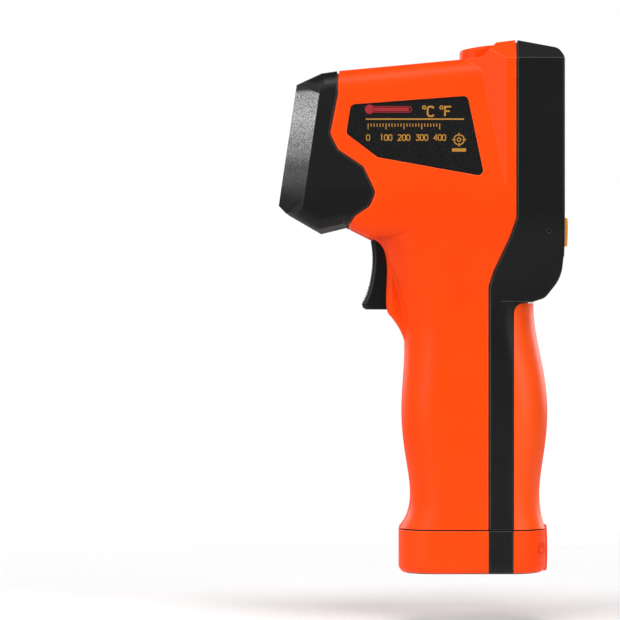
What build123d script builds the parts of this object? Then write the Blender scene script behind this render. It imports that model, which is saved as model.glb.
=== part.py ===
"""Pistol-grip infrared thermometer. Millimetres, +Z up along the handle.

The display faces -Y, the nose points +Y and the origin is the middle of the flat foot.
"""

from build123d import *
from collections import namedtuple
from math import cos, radians, sin
import os

os.makedirs("parts", exist_ok=True)

# ---- driving dimensions -------------------------------------------------------------
SEAM_Z = 12.8  # lower end of the housing, above the battery cap
CAP_TOP = 12.4
HEAD_HALF = 22.9  # half width of the head
TOP_HALF = 18.9  # half width of the barrel at its top
WALL = 2.0
PANEL_SKIN = 1.6  # thickness of the soft grip panel
LABEL_SUNK = 0.3  # the label plates lie this far under the surface
GROOVE = 0.35  # half width of the shut line between shells
GROOVE_DEPTH = 0.7

REAR_Y = -26.1  # display face
NOSE_TOP_Y = 50.5
NOSE_BOTTOM_Y = 55.5
NOSE_TOP_Z = 138.5
NOSE_BOTTOM_Z = 105.5

NOSE_WALL_Y = 46.5  # inner face of the nose front
NOSE_SLOPE = (NOSE_BOTTOM_Y - NOSE_TOP_Y) / (NOSE_TOP_Z + 1.8 - NOSE_BOTTOM_Z)
BEVEL_DEEP, BEVEL_WIDE = 7.0, 4.2  # bevel on the upright corners of the nose
LEAN_Z = 111.0  # the barrel sides lean in above this height
LEAN = (HEAD_HALF - TOP_HALF) / 34.0

SPLIT_HIGH_Y = -12.4  # orange to black shut line on the head
SPLIT_LOW_Y = -4.6  # and on the handle
PANEL_EDGE_Y = -11.5  # side edges of the grip panel
PANEL_TOP_Z = 78.0

WINDOW_HALF = 15.5
WINDOW_LOW, WINDOW_HIGH = 108.0, 141.4
WINDOW_CORNER = 3.1
VIEW_HALF = 12.9
VIEW_LOW, VIEW_HIGH = 110.8, 139.4
BOARD_Y = -17.2  # front of the main board
BOARD_THICK = 1.6

OPTIC_Z = 125.5  # height of the infrared lens axis
LASER_Z = 109.6
LENS_CURVE = 19.5  # radius of the lens face
KNOB_Y = -1.8  # axis of the round button on top
KNOB_R = 5.5

TRIGGER_HALF = 6.2
PIVOT_Y, PIVOT_Z = 20.5, 94.0
PIN_R = 1.0

CELL_R, CELL_LENGTH, CELL_X = 5.25, 44.5, 5.45
CELL_LOW = 7.5
LOCK_Z = 6.76
LOCK_R = 4.2
BOSS_R = 6.7
BOSS_FACE_Y = -21.6

CLEAR = 0.3  # gap round a moving key
FLANGE = 0.9  # lip that keeps a key in its hole
KEY_ROUND = 0.5
KEY_STEM_Y = -21.0  # inner end of a key's stem
SWITCH_TOP_Y = -20.2  # top of the small switch that it presses
WINDOW_FACE_Y = -25.4
KNOB_LOW, KNOB_TOP = 148.3, 152.0
KNOB_TILT = radians(8.8)
LOCK_FLOOR_Y = -19.6
SPIGOT_WIDE, SPIGOT_DEEP, SPIGOT_CORNER = 23.9, 33.0, 6.5  # wall that plugs into the handle
SPIGOT_WALL = 1.0
CAM_Y = -13.8
TRIGGER_FLOOR = 74.9  # lower edge of the mouth for the trigger

# battery cap: outside size, floor and the skin in front of its black core
CAP_WIDE, CAP_DEEP, CAP_CORNER, CAP_MID_Y = 32.9, 42.4, 10.3, 0.2
CAP_FLOOR, CAP_SKIN = 2.5, 1.2
SPIGOT_TOP = 14.6

RIM_ROUND = 0.8  # rounding of the upright edges of the display face
BELLY_ROUND = 4.0  # rounding under the barrel
# corners of the head's side view, each with its rounding
HEAD_ROUNDS = [
    ((REAR_Y, 93.5), 40.0),
    ((-25.2, 85.0), 11.0),
    ((-20.6, 79.2), 3.5),
    ((-24.4, 150.6), 3.0),
    ((REAR_Y, 148.0), 3.0),
]
# screws and posts, x and z
POST_SPOTS = [(17.6, 144.5), (-17.6, 144.5), (12.0, 89.0), (-12.0, 89.0)]
SCREW_SPOTS = [(8.0, 69.5), (-8.0, 69.5)]
BRACKET_SPOTS = [(18.8, 108.0), (-18.8, 108.0), (16.0, 134.5), (-16.0, 134.5)]


def flank_x(z):
    """Rough half width of the body where it flares, between handle and head."""
    return 21.0 + (HEAD_HALF - 21.0) * (z - 96.5) / 11.5


def mirrored(points):
    """Closed outline from its right-hand half, top to bottom order kept."""
    return points + [(-x, z) for x, z in reversed(points)]


def save(builder, label):
    builder.part.label = label
    export_step(builder.part, f"parts/{label}.step")


# ---- outer forms, each at a chosen depth under the surface ---------------------------
def flank_sketch(inset, lean):
    """Outline seen from the display side: slim handle, flaring to the wide head."""
    edge = HEAD_HALF - inset
    with BuildSketch(Plane.XZ) as outline:
        with BuildLine():
            flank = Spline(
                (16.3 - inset, -4),
                (16.1 - inset, 17),
                (17.1 - inset, 48),
                (16.6 - inset, 71),
                (18.4 - inset, 86),
                (21.0 - inset, 96.5),
                (edge, 108),
                tangents=((0, 1), (0, 1)),
            )
            if lean:
                over = edge - LEAN * (162 - LEAN_Z)
                Polyline(flank @ 1, (edge, LEAN_Z), (over, 162), (0, 162))
            else:
                Polyline(
                    flank @ 1,
                    (edge, 147.6 - 0.4 * inset),
                    (17.0 - 0.4 * inset, 153.3 - inset),
                    (7.5, 153.9 - inset),
                    (0, 153.9 - inset),
                )
            Line((0, -4), flank @ 0)
            mirror(about=Plane.YZ)
        make_face()
    return outline.sketch


def handle_form(inset):
    """Handle with well rounded corners, from the seam up into the head."""
    with BuildPart() as form:
        with BuildSketch(Plane.YZ):
            with BuildLine():
                front = Spline(
                    (21.3 - inset, SEAM_Z),
                    (19.2 - inset, 16.2),
                    (18.1 - inset, 23),
                    (19.4 - inset, 33.5),
                    (20.6 - inset, 47),
                    (19.8 - inset, 62),
                    (20.2 - inset, 73),
                    (24.3 - inset, 90),
                    (27.4 - inset, 100.5),
                )
                rear = Spline(
                    (-18.4 + inset, 84),
                    (-17.9 + inset, 72),
                    (-20.5 + inset, 58),
                    (-21.6 + inset, 46),
                    (-20.6 + inset, 34.5),
                    (-19.3 + inset, 23),
                    (-20.0 + inset, 16),
                    (-21.0 + inset, SEAM_Z),
                )
                Polyline(front @ 1, (inset - 9.0, 104), rear @ 0)
                Line(rear @ 1, front @ 0)
            make_face()
        extrude(amount=30, both=True)
        add(extrude(flank_sketch(inset, False), amount=60, both=True, mode=Mode.PRIVATE),
            mode=Mode.INTERSECT)
        corners = [e for e in form.edges() if abs(e.tangent_at(0.5).Z) > 0.6
                   and abs(e.center().X) > 10 and e.length > 40]
        fillet(corners, radius=10.5 - inset)
    return form.part


def barrel_form(inset):
    """Barrel and nose, sides leaning in towards the top."""
    with BuildPart() as form:
        with BuildSketch(Plane.YZ):
            with BuildLine():
                Polyline(
                    (-12.9, 149.2),
                    (38.2, 144.4),
                    (43.5, 143.6),
                    (NOSE_TOP_Y, NOSE_TOP_Z + 1.8),
                    (NOSE_BOTTOM_Y, NOSE_BOTTOM_Z),
                    (53.5, 103.4),
                    (44.5, 98.2),
                    (37.1, 100.0),
                    (29.9, 96.4),
                    (14.0, 96.4),
                    (-12.9, 101.4),
                    close=True,
                )
            make_face()
            if inset:
                offset(amount=-inset, kind=Kind.INTERSECTION)
        extrude(amount=30, both=True)
        add(extrude(flank_sketch(inset, True), amount=60, both=True, mode=Mode.PRIVATE),
            mode=Mode.INTERSECT)
        long_top = form.edges().filter_by(lambda e: abs(e.tangent_at(0.5).Y) > 0.9
                                          and e.center().Z > 140 and abs(e.center().X) > 5)
        fillet(long_top, radius=6.0 - inset)
        belly = [e for e in form.edges() if abs(e.tangent_at(0.5).Y) > 0.8
                 and e.center().Z < 104 and abs(e.center().X) > 10]
        fillet(belly, radius=BELLY_ROUND - 0.5 * inset)
    return form.part


def head_form(inset):
    """Display end with its collar, whose front corners slant in to the barrel."""
    with BuildPart() as form:
        with BuildSketch(Plane.YZ):
            with BuildLine():
                Polyline(
                    (-2.5, 148.0),
                    (-6.6, 152.2),
                    (-12.5, 153.0),
                    (-24.4, 150.6),
                    (REAR_Y, 148.0),
                    (REAR_Y, 93.5),
                    (-25.2, 85.0),
                    (-20.6, 79.2),
                    (-17.5, 78.2),
                    (6.0, 78.2),
                    (6.0, 100.0),
                    (2.0, 110.0),
                    (2.0, 147.5),
                    close=True,
                )
            make_face()
            if inset:
                offset(amount=-inset, kind=Kind.INTERSECTION)
            for (y, z), radius in HEAD_ROUNDS:
                nearest = vertices().sort_by(lambda v: abs(v.X - y) + abs(v.Y - z))[0]
                fillet(nearest, radius=radius)
        extrude(amount=30, both=True)
        add(extrude(flank_sketch(inset, False), amount=60, both=True, mode=Mode.PRIVATE),
            mode=Mode.INTERSECT)
        with BuildSketch(Plane.XY.offset(70)):
            Polygon(
                *mirrored([(9.0, 9.0), (HEAD_HALF - inset - 6.8, 2.5),
                           (HEAD_HALF - inset, -9.3), (HEAD_HALF - inset, -40)]),
                align=None,
            )
        extrude(amount=100, mode=Mode.INTERSECT)
        if inset < RIM_ROUND:
            rim = [e for e in form.edges() if e.center().Y < REAR_Y + inset + 0.3
                   and abs(e.center().X) > 12]
            fillet(rim, radius=RIM_ROUND)
    return form.part


def whole_form(inset):
    with BuildPart() as form:
        add(handle_form(inset))
        add(barrel_form(inset))
        add(head_form(inset))
    return form.part


def trigger_frame():
    """Narrow nose on the front of the handle, which the trigger sits in."""
    with BuildPart() as frame:
        with BuildSketch(Plane.YZ):
            with BuildLine():
                front = Spline((19.6, 66.5), (21.2, 70.4), (24.4, 74.7))
                face = Spline(front @ 1, (24.8, 84), (27.3, 95.4), (29.9, 96.6))
                Polyline(face @ 1, (29.9, 99), (16, 99), (16, 66.5), front @ 0)
            make_face()
        extrude(amount=TRIGGER_HALF + 3.2, both=True)
        outside = [e for e in frame.edges() if abs(e.center().X) > TRIGGER_HALF
                   and e.center().Y > 19.7 and abs(e.tangent_at(0.5).X) < 0.1
                   and e.center().Z < 96]
        fillet(outside, radius=1.8)
    return frame.part


def corner_cuts():
    """Wedges that bevel the two upright corners of the nose, following its lean."""
    with BuildPart() as cuts:
        for side in (-1, 1):
            for low, high in ((90, LEAN_Z), (LEAN_Z, 150)):
                for level in (low, high):
                    wide = HEAD_HALF - LEAN * max(0, level - LEAN_Z)
                    front = NOSE_BOTTOM_Y - NOSE_SLOPE * (level - NOSE_BOTTOM_Z)
                    with BuildSketch(Plane.XY.offset(level)):
                        Polygon(
                            (side * wide, front - BEVEL_DEEP),
                            (side * (wide - BEVEL_WIDE), front),
                            (side * (wide - BEVEL_WIDE), front + 6),
                            (side * (wide + 6), front + 6),
                            (side * (wide + 6), front - BEVEL_DEEP),
                            align=None,
                        )
                loft(ruled=True)
    return cuts.part


def cap_form():
    with BuildPart() as form:
        with BuildSketch():
            with Locations((0, CAP_MID_Y)):
                RectangleRounded(CAP_WIDE, CAP_DEEP, CAP_CORNER)
        extrude(amount=CAP_TOP)
        fillet(form.faces().sort_by(Axis.Z)[0].edges(), radius=2.3)
    return form.part


# ---- helpers used inside a part --------------------------------------------------------
def side_prism(points, corner=0.0, shrink=0.0):
    """Prism across the whole width with the given side outline."""
    with BuildPart() as prism:
        with BuildSketch(Plane.YZ):
            Polygon(*points, align=None)
            if corner:
                fillet(vertices(), radius=corner)
            if shrink:
                offset(amount=-shrink)
        extrude(amount=40, both=True)
    return prism.part


def spigot_sketch(height, inset=0.0):
    with BuildSketch(Plane.XY.offset(height)) as spigot:
        with Locations((0, CAP_MID_Y)):
            RectangleRounded(
                SPIGOT_WIDE - 2 * inset, SPIGOT_DEEP - 2 * inset, SPIGOT_CORNER - inset)
    return spigot.sketch


def groove_prism(path):
    """Thin band either side of a shut line given in side view."""
    with BuildPart() as band:
        with BuildSketch(Plane.YZ):
            with BuildLine():
                path()
            trace(line_width=2 * GROOVE)
        extrude(amount=40, both=True)
        add(under_skin, mode=Mode.SUBTRACT)
    return band.part


def disc(y_start, y_end, radius, x=0.0, z=0.0, mode=Mode.ADD):
    """Round bar or hole along +Y."""
    with BuildSketch(Plane.XZ.offset(-y_start)) as face:
        with Locations((x, z)):
            Circle(radius)
    extrude(face.sketch, amount=y_start - y_end, mode=mode)


def block(x, y, z, mode=Mode.ADD):
    """Rectangular block between two limits on each axis."""
    with Locations((sum(x) / 2, sum(y) / 2, sum(z) / 2)):
        Box(x[1] - x[0], y[1] - y[0], z[1] - z[0], mode=mode)


def plate(outline, y_start, y_end, mode=Mode.ADD):
    """Plate with an outline drawn in x and z, from y_start to y_end."""
    extrude(Plane.XZ.offset(-y_start) * outline, amount=y_start - y_end, mode=mode)


def cross_slot(x, z, y, depth):
    """Cross recess in a screw head whose face is at y."""
    for wide, tall in ((1.8, 0.4), (0.4, 1.8)):
        block((x - wide / 2, x + wide / 2), sorted((y - depth, y + 0.01 * depth)),
              (z - tall / 2, z + tall / 2), mode=Mode.SUBTRACT)


def lock_pocket():
    """Round pocket, wider in its upper half so that the tab can swing."""
    with BuildSketch() as pocket:
        with Locations((0, LOCK_Z)):
            Circle(LOCK_R + 0.3)
        with BuildSketch(mode=Mode.PRIVATE) as upper:
            with Locations((0, LOCK_Z)):
                Circle(LOCK_R + 1.15)
            with Locations((0, LOCK_Z - 10)):
                Rectangle(20, 20, mode=Mode.SUBTRACT)
        add(upper.sketch)
    return pocket.sketch


def lock_outline():
    """Round disc with a quarter-circle tab, upper left when locked."""
    with BuildSketch() as tab:
        with Locations((0, LOCK_Z)):
            Circle(LOCK_R + 0.8)
        with Locations((-10, LOCK_Z + 10)):
            Rectangle(20, 20, mode=Mode.INTERSECT)
        with Locations((0, LOCK_Z)):
            Circle(LOCK_R)
    return tab.sketch


def split_path():
    Polyline(*SPLIT)


def nose_path():
    FilletPolyline(*NOSE_EDGE, radius=2.4)


# ---- shut lines and regions in side view -------------------------------------------------
SPLIT = [
    (SPLIT_HIGH_Y, 170),
    (SPLIT_HIGH_Y, 101.9),
    (-10.5, 96.4),
    (-5.9, 86.7),
    (SPLIT_LOW_Y, 82.6),
    (SPLIT_LOW_Y, -10),
]
NOSE_EDGE = [
    (38.6, 170),
    (38.7, 137.2),
    (40.9, 126.0),
    (38.6, 121.4),
    (31.4, 116.6),
    (27.9, 109.2),
    (29.6, 105.4),
    (33.8, 102.6),
    (36.6, 98.6),
    (36.6, 80),
]
LABEL = [(34.9, 134.4), (36.2, 126.0), (27.2, 119.2), (-3.2, 113.7), (1.6, 136.9)]
PANEL = [
    (-40, SEAM_Z - 20),
    (PANEL_EDGE_Y, SEAM_Z - 20),
    (PANEL_EDGE_Y, PANEL_TOP_Z),
    (-40, PANEL_TOP_Z),
]

outer = whole_form(0)
label_surface = whole_form(LABEL_SUNK)
under_skin = whole_form(GROOVE_DEPTH)
under_panel = handle_form(PANEL_SKIN)
hollow = whole_form(WALL)
deep_hollow = handle_form(PANEL_SKIN + 1.8)

rear_region = side_prism([*SPLIT, (-60, -10), (-60, 170)])
with BuildPart() as nose_block:
    with BuildSketch(Plane.YZ):
        with BuildLine():
            edge = FilletPolyline(*NOSE_EDGE, radius=2.4)
            Polyline(edge @ 1, (80, 80), (80, 170), edge @ 0)
        make_face()
    extrude(amount=40, both=True)
nose_region = nose_block.part
split_groove = groove_prism(split_path)
nose_groove = groove_prism(nose_path)
label_prism = side_prism(LABEL, corner=1.5)
panel_prism = side_prism(PANEL, corner=3.2)
panel_inner_prism = side_prism(PANEL, corner=3.2, shrink=0.25)
with BuildPart() as core_hollow:
    add(hollow)
    block((-40, 40), (-60, 80), (-10, 80.4), mode=Mode.SUBTRACT)
    add(deep_hollow)
rear_hollow = core_hollow.part


with BuildPart() as nose_hollow:
    add(hollow)
    block((-40, 40), (NOSE_WALL_Y, 90), (60, 180), mode=Mode.SUBTRACT)


# ---- key outlines, x and z ----------------------------------------------------------------
def amber_key(side, grow=0.0):
    """Amber key with its lower outer corner cut away."""
    points = [(13.8, 101.6), (12.9, 102.2), (6.9, 102.2), (6.6, 94.1), (9.7, 94.1), (13.8, 99.8)]
    with BuildSketch() as key:
        Polygon(*[(side * x, z) for x, z in points], align=None)
        fillet(vertices(), radius=0.7)
        if grow:
            offset(amount=grow)
    return key.sketch


def red_key(grow=0.0):
    with BuildSketch() as key:
        Polygon((-3.9, 99.2), (3.9, 99.2), (3.1, 91.1), (-3.1, 91.1), align=None)
        fillet(vertices(), radius=0.9)
        if grow:
            offset(amount=grow)
    return key.sketch


def key_recess():
    """Bowl-shaped sunk area round the keys."""
    with BuildSketch() as bowl:
        with Locations((0, 103.6)):
            Ellipse(17.4, 14.0)
        with Locations((0, 97)):
            Rectangle(32.6, 14.8, mode=Mode.INTERSECT)
        fillet(bowl.vertices().group_by(Axis.Y)[-1], radius=2.0)
    return bowl.sketch


def face_line():
    """Sunk line that runs down both sides of the window and sweeps round the keys."""
    with BuildSketch() as line:
        with Locations((0, 104.4)):
            Circle(20.2)
            Rectangle(40.4, 41, align=(Align.CENTER, Align.MIN))
        with Locations((0, 104.4)):
            Ellipse(18.9, 17.6, mode=Mode.SUBTRACT)
            Rectangle(37.8, 60, align=(Align.CENTER, Align.MIN), mode=Mode.SUBTRACT)
    return line.sketch


def window_outline(grow=0.0):
    with BuildSketch() as frame:
        with Locations((0, (WINDOW_LOW + WINDOW_HIGH) / 2)):
            RectangleRounded(
                2 * (WINDOW_HALF + grow), WINDOW_HIGH - WINDOW_LOW + 2 * grow,
                WINDOW_CORNER + grow)
    return frame.sketch


Key = namedtuple("Key", "outline hole flange x z proud")
KEYS = {
    "button_laser": Key(
        amber_key(-1), amber_key(-1, CLEAR), amber_key(-1, FLANGE), -10.2, 98.3, 1.2),
    "button_unit": Key(red_key(), red_key(CLEAR), red_key(FLANGE), 0.0, 95.2, 0.6),
    "button_light": Key(
        amber_key(1), amber_key(1, CLEAR), amber_key(1, FLANGE), 10.2, 98.3, 1.2),
}


# ---- shells --------------------------------------------------------------------------------
with BuildPart() as front_housing:
    add(outer)
    add(rear_region, mode=Mode.SUBTRACT)
    add(trigger_frame())
    add(hollow, mode=Mode.SUBTRACT)
    add(nose_region, mode=Mode.SUBTRACT)
    add(split_groove, mode=Mode.SUBTRACT)
    add(nose_groove, mode=Mode.SUBTRACT)
    add(label_prism - under_skin, mode=Mode.SUBTRACT)
    # mouth for the trigger, with an ear for its pin on either side
    block((-TRIGGER_HALF - 0.4, TRIGGER_HALF + 0.4), (15, 30), (TRIGGER_FLOOR, 97.6),
          mode=Mode.SUBTRACT)
    for side in (-1, 1):
        ear = sorted((side * (TRIGGER_HALF + 0.4), side * (TRIGGER_HALF + 2.4)))
        block(ear, (PIVOT_Y - 3, PIVOT_Y + 4.0), (PIVOT_Z - 3, PIVOT_Z + 4))
    with BuildSketch(Plane.YZ.offset(-15)):
        with Locations((PIVOT_Y, PIVOT_Z)):
            Circle(PIN_R)
    extrude(amount=30, mode=Mode.SUBTRACT)
    # web behind the trigger, posts for the screws and for the optics
    block((-16.0, 16.0), (4.4, 6.2), (78, 91))
    block((-1.2, 1.2), (6.9, 17.0), (22, 52))
    for x, z in SCREW_SPOTS:
        disc(-9, 17.2, 3.0, x, z)
        disc(-9.5, 3, 0.95, x, z, mode=Mode.SUBTRACT)
    for x, z in BRACKET_SPOTS:
        disc(20, 27.2, 2.5, x, z)
        disc(27, 36.0, 2.0, x, z)
        disc(27, 36.5, 0.95, x, z, mode=Mode.SUBTRACT)
    # round pocket for the knob, its guide hole and the arms of its switch board
    with BuildSketch(Plane.XY.offset(147.2)):
        with Locations((0, KNOB_Y)):
            Circle(KNOB_R + 0.45)
    extrude(amount=10, mode=Mode.SUBTRACT)
    with BuildSketch(Plane.XY.offset(140)):
        with Locations((0, KNOB_Y)):
            Circle(3.3)
    extrude(amount=10, mode=Mode.SUBTRACT)
    for side in (-1, 1):
        arm = sorted((side * 7.5, side * 9.0))
        block(arm, (KNOB_Y - 4, KNOB_Y + 4), (136.0, 146.6))
save(front_housing, "front_housing")

with BuildPart() as rear_shell:
    add(outer)
    add(rear_region, mode=Mode.INTERSECT)
    add(rear_hollow, mode=Mode.SUBTRACT)
    add(panel_prism - under_panel, mode=Mode.SUBTRACT)
    add(split_groove, mode=Mode.SUBTRACT)
    # frame behind the window and posts for the board
    block((-17.2, 17.2), (-24.3, -22.6), (106.6, 143.0))
    for x, z in POST_SPOTS:
        disc(-24.4, BOARD_Y, 2.1, x, z)
        disc(-22, BOARD_Y + 1, 0.85, x, z, mode=Mode.SUBTRACT)
    plate(window_outline(0.15), -30, -24.2, mode=Mode.SUBTRACT)
    with BuildSketch(Plane.XZ.offset(20)):
        with Locations((0, (VIEW_LOW + VIEW_HIGH) / 2)):
            Rectangle(2 * VIEW_HALF, VIEW_HIGH - VIEW_LOW)
    extrude(amount=10, mode=Mode.SUBTRACT)
    plate(key_recess(), -30, -25.3, mode=Mode.SUBTRACT)
    for key in KEYS.values():
        plate(key.hole, -30, -20, mode=Mode.SUBTRACT)
    line_tool = extrude(Plane.XZ.offset(20) * face_line(), amount=10, mode=Mode.PRIVATE)
    add(line_tool - under_skin, mode=Mode.SUBTRACT)
    # seats for the two screws under the grip panel
    for x, z in SCREW_SPOTS:
        disc(-14.4, -9.1, 3.2, x, z)
        disc(-20, -13.4, 2.2, x, z, mode=Mode.SUBTRACT)
        disc(-20, -8, 1.2, x, z, mode=Mode.SUBTRACT)
    # bite for the round lock boss and a small dimple in each flank
    disc(-30, -13, BOSS_R + 0.4, 0, LOCK_Z, mode=Mode.SUBTRACT)
    with Locations((flank_x(98.3), -21.5, 98.3), (-flank_x(98.3), -21.5, 98.3)):
        Sphere(0.5, mode=Mode.SUBTRACT)
save(rear_shell, "rear_shell")

with BuildPart() as rear_grip_panel:
    add(handle_form(0))
    add(panel_inner_prism, mode=Mode.INTERSECT)
    add(under_panel, mode=Mode.SUBTRACT)
    disc(-30, -13, BOSS_R + 0.4, 0, LOCK_Z, mode=Mode.SUBTRACT)
save(rear_grip_panel, "rear_grip_panel")

with BuildPart() as nose_cover:
    add(outer)
    add(nose_region, mode=Mode.INTERSECT)
    add(corner_cuts(), mode=Mode.SUBTRACT)
    add(nose_hollow.part, mode=Mode.SUBTRACT)
    add(nose_groove, mode=Mode.SUBTRACT)
    with Locations(Location((0, 50, OPTIC_Z), (-90, 0, 0))):
        Cone(9.4, 13.0, 10, mode=Mode.SUBTRACT)
    disc(40, 60, 9.4, 0, OPTIC_Z, mode=Mode.SUBTRACT)
    disc(40, 60, 2.7, 0, LASER_Z, mode=Mode.SUBTRACT)
save(nose_cover, "nose_cover")

with BuildPart() as label_form:
    add(label_surface)
    add(side_prism(LABEL, corner=1.5, shrink=0.12), mode=Mode.INTERSECT)
    add(under_skin, mode=Mode.SUBTRACT)
labels = label_form.part.solids().sort_by(Axis.X)
for solid, label in zip(labels, ("label_plate_left", "label_plate_right")):
    with BuildPart() as label_plate:
        add(solid)
    save(label_plate, label)

# ---- keys, window and display ---------------------------------------------------------------
for label, key in KEYS.items():
    with BuildPart() as key_part:
        plate(key.outline, REAR_Y - key.proud, -23.7)
        rim = key_part.faces().sort_by(Axis.Y)[0].edges()
        fillet(rim, radius=KEY_ROUND)
        plate(key.flange, -23.7, -22.9)
        disc(-22.9, KEY_STEM_Y, 1.5, key.x, key.z)
    save(key_part, label)

with BuildPart() as display_window:
    plate(window_outline(), WINDOW_FACE_Y, -24.2)
    chamfer(display_window.faces().sort_by(Axis.Y)[0].edges(), length=0.3)
save(display_window, "display_window")

view_mid = (VIEW_LOW + VIEW_HIGH) / 2
with BuildPart() as lcd_panel:
    block((-15.0, 15.0), (-22.5, -20.4), (view_mid - 17.0, view_mid + 17.0))
    block((-14.0, 14.0), (-22.6, -22.5), (view_mid - 15.0, view_mid + 15.0))
save(lcd_panel, "lcd_panel")

with BuildPart() as lcd_backlight:
    block((-14.0, 14.0), (-20.3, -17.4), (view_mid - 14.2, view_mid + 14.2))
    block((-3.0, 3.0), (-19.6, -17.9), (view_mid + 14.2, view_mid + 15.0))
save(lcd_backlight, "lcd_backlight")

with BuildPart() as connector_strips:
    for z in (view_mid - 15.9, view_mid + 15.9):
        block((-13.0, 13.0), (-20.4, BOARD_Y), (z - 0.8, z + 0.8))
save(connector_strips, "connector_strips")

with BuildPart() as main_board:
    with BuildSketch(Plane.XZ.offset(-BOARD_Y)):
        Polygon(*mirrored([(19.6, 146.6), (19.6, 100.0), (14.2, 86.4)]), align=None)
        fillet(vertices(), radius=1.0)
    extrude(amount=-BOARD_THICK)
    for x, z in POST_SPOTS:
        disc(BOARD_Y, BOARD_Y + BOARD_THICK, 1.0, x, z, mode=Mode.SUBTRACT)
save(main_board, "main_board")
board_back = BOARD_Y + BOARD_THICK

with BuildPart() as board_screws:
    for x, z in POST_SPOTS:
        disc(board_back - 5.0, board_back, 0.8, x, z)
        disc(board_back, board_back + 1.2, 1.7, x, z)
        cross_slot(x, z, board_back + 1.2, 0.6)
save(board_screws, "board_screws")

with BuildPart() as button_switches:
    for key in KEYS.values():
        block((key.x - 2.2, key.x + 2.2), (-19.6, BOARD_Y), (key.z - 2.2, key.z + 2.2))
        disc(SWITCH_TOP_Y, -19.6, 1.0, key.x, key.z)
save(button_switches, "button_switches")

with BuildPart() as main_chip:
    block((-9.5, -0.5), (board_back, board_back + 1.3), (112.0, 121.0))
    block((3.0, 8.0), (board_back, board_back + 1.0), (124.0, 128.0))
    chamfer(main_chip.faces().sort_by(Axis.Y)[-1].edges(), length=0.2)
save(main_chip, "main_chip")

with BuildPart() as buzzer:
    disc(board_back, board_back + 3.4, 5.5, 9.0, 104.5)
    disc(board_back + 3.0, board_back + 3.4, 0.9, 9.0, 104.5, mode=Mode.SUBTRACT)
    fillet(buzzer.faces().sort_by(Axis.Y)[-1].edges(), radius=0.3)
save(buzzer, "buzzer")

# ---- trigger group ------------------------------------------------------------------------
with BuildPart() as trigger:
    with BuildSketch(Plane.YZ):
        with BuildLine():
            pull = Spline(
                (29.5, 95.8),
                (29.0, 90.0),
                (29.6, 84.6),
                (31.0, 79.6),
                (32.0, 77.7),
            )
            Polyline(pull @ 1, (31.8, 76.5), (30.9, 75.9), (21.4, 75.9), (20.9, 86.0),
                     (17.9, 90.9), (17.9, 96.6), (22.5, 97.1), (25.6, 97.1), pull @ 0)
        make_face()
    extrude(amount=TRIGGER_HALF, both=True)
    front_edges = [e for e in trigger.edges() if abs(e.center().X) > TRIGGER_HALF - 0.1
                   and e.center().Y > 28 and e.center().Z < 96.5]
    fillet(front_edges, radius=1.4)
    with BuildSketch(Plane.YZ.offset(-10)):
        with Locations((PIVOT_Y, PIVOT_Z)):
            Circle(PIN_R + 0.06)
    extrude(amount=20, mode=Mode.SUBTRACT)
    block((-4.2, 4.2), (15, 26.2), (77.8, 90.0), mode=Mode.SUBTRACT)
save(trigger, "trigger")

with BuildPart() as trigger_pin:
    with BuildSketch(Plane.YZ.offset(-(TRIGGER_HALF + 2.4))):
        with Locations((PIVOT_Y, PIVOT_Z)):
            Circle(PIN_R)
    extrude(amount=2 * (TRIGGER_HALF + 2.4))
    chamfer(trigger_pin.faces().filter_by(Axis.X).edges(), length=0.2)
save(trigger_pin, "trigger_pin")

with BuildPart() as trigger_spring:
    with BuildLine():
        coil = Helix(pitch=2.2, height=18.6, radius=2.1, center=(0, 7.0, 86.8), direction=(0, 1, 0))
    with BuildSketch(Plane(origin=coil @ 0, z_dir=coil % 0)):
        Circle(0.3)
    sweep(is_frenet=True)
save(trigger_spring, "trigger_spring")

with BuildPart() as trigger_switch:
    block((-3.1, 3.1), (6.2, 12.0), (78.4, 84.2))
    block((-0.9, 0.9), (12.0, 23.6), (79.6, 81.4))
    fillet(trigger_switch.faces().sort_by(Axis.Y)[-1].edges(), radius=0.5)
save(trigger_switch, "trigger_switch")

# ---- round button on top ----------------------------------------------------------------------
with BuildPart() as top_button:
    with BuildSketch(Plane.XY.offset(KNOB_LOW)):
        with Locations((0, KNOB_Y)):
            Circle(KNOB_R)
    extrude(amount=6)
    split(bisect_by=Plane(origin=(0, KNOB_Y, KNOB_TOP), z_dir=(0, sin(KNOB_TILT), cos(KNOB_TILT))),
          keep=Keep.BOTTOM)
    fillet(top_button.faces().sort_by(Axis.Z)[-1].edges(), radius=1.0)
    with BuildSketch(Plane.XY.offset(144.2)):
        with Locations((0, KNOB_Y)):
            Circle(2.9)
    extrude(amount=KNOB_LOW - 144.2)
    with BuildSketch(Plane.XY.offset(143.0)):
        with Locations((0, KNOB_Y)):
            Circle(4.2)
    extrude(amount=1.2)
    with BuildSketch(Plane.XY.offset(141.0)):
        with Locations((0, KNOB_Y)):
            Circle(1.2)
    extrude(amount=2.0)
save(top_button, "top_button")

with BuildPart() as top_button_spring:
    with BuildLine():
        coil = Helix(pitch=1.1, height=4.1, radius=2.85, center=(0, KNOB_Y, 138.55))
    with BuildSketch(Plane(origin=coil @ 0, z_dir=coil % 0)):
        Circle(0.2)
    sweep(is_frenet=True)
save(top_button_spring, "top_button_spring")

with BuildPart() as top_button_switch:
    block((-7.5, 7.5), (KNOB_Y - 4, KNOB_Y + 4), (136.6, 138.2))
    block((-1.8, 1.8), (KNOB_Y - 1.8, KNOB_Y + 1.8), (138.2, 139.6))
save(top_button_switch, "top_button_switch")

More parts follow.
